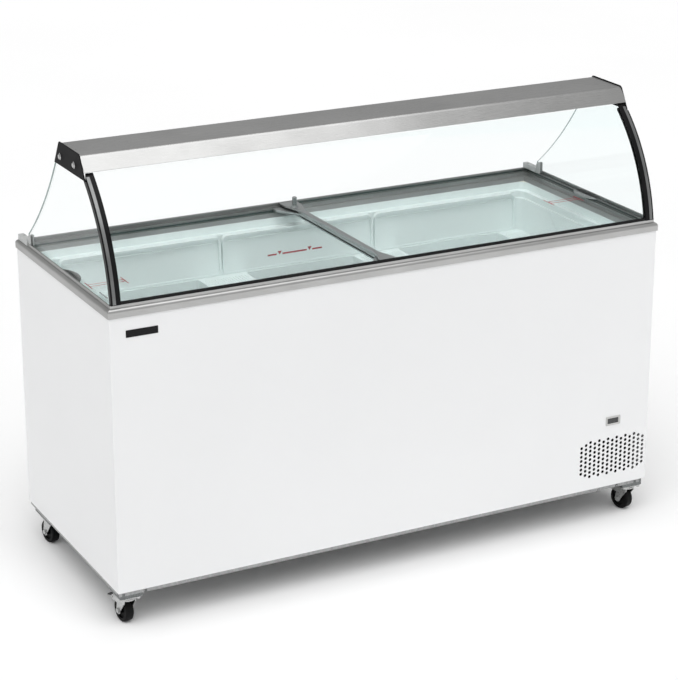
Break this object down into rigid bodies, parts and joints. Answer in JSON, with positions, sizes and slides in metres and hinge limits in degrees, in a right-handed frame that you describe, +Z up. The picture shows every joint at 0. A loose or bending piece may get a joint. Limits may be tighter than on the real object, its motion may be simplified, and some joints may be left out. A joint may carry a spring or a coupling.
{
  "type": "chest freezer",
  "caption": "Scooping chest freezer on castors with two sliding glass lids, a curved glass canopy over the serving top and a vented compressor bay.",
  "frame": {"origin": "on the floor, below the middle of the cabinet", "axes": "+X to the right seen from the front, front faces -Y, +Z up"},
  "size_m": [1.5142, 0.6242, 1.133],
  "materials": {
    "white_panel": "smooth white powder coat",
    "galvanised_steel": "zinc-coated sheet",
    "compressor_shell": "gloss black enamel",
    "foam": "rigid polyurethane foam",
    "liner_white": "white vacuum-formed liner",
    "frame_silver": "satin silver extrusion",
    "badge_black": "blank gloss plate",
    "bezel_grey": "satin light grey",
    "display_dark": "smoked window",
    "rubber_black": "matt rubber",
    "copper": "drawn copper tube",
    "coil_black": "black coated fins",
    "fan_plastic": "moulded",
    "electrical_grey": "moulded",
    "stainless": "long-grain brushed",
    "cap_black": "fine-grain moulded",
    "chrome_screw": "polished",
    "clear_glass": "tempered",
    "profile_black": "satin extrusion",
    "strip_satin": "satin anodised",
    "bracket_white": "moulded",
    "diffuser": "opal",
    "lid_grey": "satin grey extrusion",
    "lock_metal": "satin zinc die-cast",
    "zinc_fork": "bright zinc plate",
    "wheel_black": "moulded tyre",
    "brake_black": "moulded"
  },
  "bodies": {
    "cabinet": {"front_panel": "white_panel", "left_side_panel": "white_panel", "right_side_panel": "white_panel", "rear_panel": "white_panel", "base_pan": "galvanised_steel", "castor_brackets": "galvanised_steel", "castor_plates": "zinc_fork", "castor_bolts": "zinc_fork", "inner_liner": "liner_white", "drain_fitting": "bracket_white", "foam_insulation": "foam", "top_frame_front": "frame_silver", "top_frame_rear": "frame_silver", "top_frame_left": "frame_silver", "top_frame_right": "frame_silver", "badge_plate": "badge_black", "display_bezel": "bezel_grey", "display_window": "display_dark", "compressor": "compressor_shell", "compressor_feet": "rubber_black", "condenser": "coil_black", "fan_shroud": "galvanised_steel", "fan_motor": "electrical_grey", "refrigerant_line": "copper", "electrical_box": "electrical_grey", "cable_inlet": "cap_black", "front_glass": "clear_glass", "front_glass_seal": "rubber_black", "corner_strips": "strip_satin", "corner_profile_left": "profile_black", "corner_profile_right": "profile_black", "side_glass_left": "clear_glass", "side_glass_right": "clear_glass", "canopy_cover": "stainless", "canopy_end_cap_left": "cap_black", "canopy_end_cap_right": "cap_black", "canopy_screws": "chrome_screw", "rear_bracket_left": "bracket_white", "rear_bracket_right": "bracket_white", "light_housing": "frame_silver", "light_diffuser": "diffuser"},
    "left_lid": {"left_lid_glass": "clear_glass", "left_lid_beam": "lid_grey", "left_lid_grip": "lid_grey"},
    "right_lid": {"right_lid_glass": "clear_glass", "right_lid_beam": "lid_grey", "right_lid_grip": "lid_grey"},
    "lock": {"lock_barrel": "lock_metal"},
    "fan": {"fan_blades": "fan_plastic"},
    "thermostat": {"thermostat_knob": "fan_plastic"},
    "castor_front_left": {"castor_fork_front_left": "zinc_fork"},
    "wheel_front_left": {"castor_wheel_front_left": "wheel_black"},
    "brake_front_left": {"castor_brake_front_left": "brake_black"},
    "castor_front_right": {"castor_fork_front_right": "zinc_fork"},
    "wheel_front_right": {"castor_wheel_front_right": "wheel_black"},
    "brake_front_right": {"castor_brake_front_right": "brake_black"},
    "castor_rear_left": {"castor_fork_rear_left": "zinc_fork"},
    "wheel_rear_left": {"castor_wheel_rear_left": "wheel_black"},
    "castor_rear_right": {"castor_fork_rear_right": "zinc_fork"},
    "wheel_rear_right": {"castor_wheel_rear_right": "wheel_black"}
  },
  "joints": [
    {"name": "left_lid_slide", "type": "slide", "parent": "cabinet", "child": "left_lid", "axis": [1, 0, 0], "range_m": [0, 0.69]},
    {"name": "right_lid_slide", "type": "slide", "parent": "cabinet", "child": "right_lid", "axis": [1, 0, 0], "range_m": [-0.69, 0]},
    {"name": "lock_turn", "type": "hinge", "parent": "right_lid", "child": "lock", "pos_m": [-0.009, 0.246, 0.82], "axis": [0, 0, 1], "range_deg": [0, 90]},
    {"name": "fan_spin", "type": "hinge", "parent": "cabinet", "child": "fan", "pos_m": [0.577, -0.234, 0.179], "axis": [0, 1, 0], "continuous": true},
    {"name": "thermostat_turn", "type": "hinge", "parent": "cabinet", "child": "thermostat", "pos_m": [0.6, 0.309, 0.321], "axis": [0, 1, 0], "range_deg": [-150, 150]},
    {"name": "swivel_front_left", "type": "hinge", "parent": "cabinet", "child": "castor_front_left", "pos_m": [-0.72, -0.277, 0.0665], "axis": [0, 0, 1], "continuous": true},
    {"name": "roll_front_left", "type": "hinge", "parent": "castor_front_left", "child": "wheel_front_left", "pos_m": [-0.72223, -0.26116, 0.03], "axis": [0.9903, 0.1392, 0], "continuous": true},
    {"name": "brake_front_left_press", "type": "hinge", "parent": "castor_front_left", "child": "brake_front_left", "pos_m": [-0.72571, -0.2364, 0.057], "axis": [0.9903, 0.1392, 0], "range_deg": [-12, 0]},
    {"name": "swivel_front_right", "type": "hinge", "parent": "cabinet", "child": "castor_front_right", "pos_m": [0.72, -0.277, 0.0665], "axis": [0, 0, 1], "continuous": true},
    {"name": "roll_front_right", "type": "hinge", "parent": "castor_front_right", "child": "wheel_front_right", "pos_m": [0.71613, -0.26148, 0.03], "axis": [0.9703, 0.2419, 0], "continuous": true},
    {"name": "brake_front_right_press", "type": "hinge", "parent": "castor_front_right", "child": "brake_front_right", "pos_m": [0.71008, -0.23722, 0.057], "axis": [0.9703, 0.2419, 0], "range_deg": [-12, 0]},
    {"name": "swivel_rear_left", "type": "hinge", "parent": "cabinet", "child": "castor_rear_left", "pos_m": [-0.72, 0.227, 0.0665], "axis": [0, 0, 1], "continuous": true},
    {"name": "roll_rear_left", "type": "hinge", "parent": "castor_rear_left", "child": "wheel_rear_left", "pos_m": [-0.72278, 0.24276, 0.03], "axis": [0.9848, 0.1736, 0], "continuous": true},
    {"name": "swivel_rear_right", "type": "hinge", "parent": "cabinet", "child": "castor_rear_right", "pos_m": [0.72, 0.227, 0.0665], "axis": [0, 0, 1], "continuous": true},
    {"name": "roll_rear_right", "type": "hinge", "parent": "castor_rear_right", "child": "wheel_rear_right", "pos_m": [0.72333, 0.24265, 0.03], "axis": [0.9781, -0.2079, 0], "continuous": true}
  ]
}
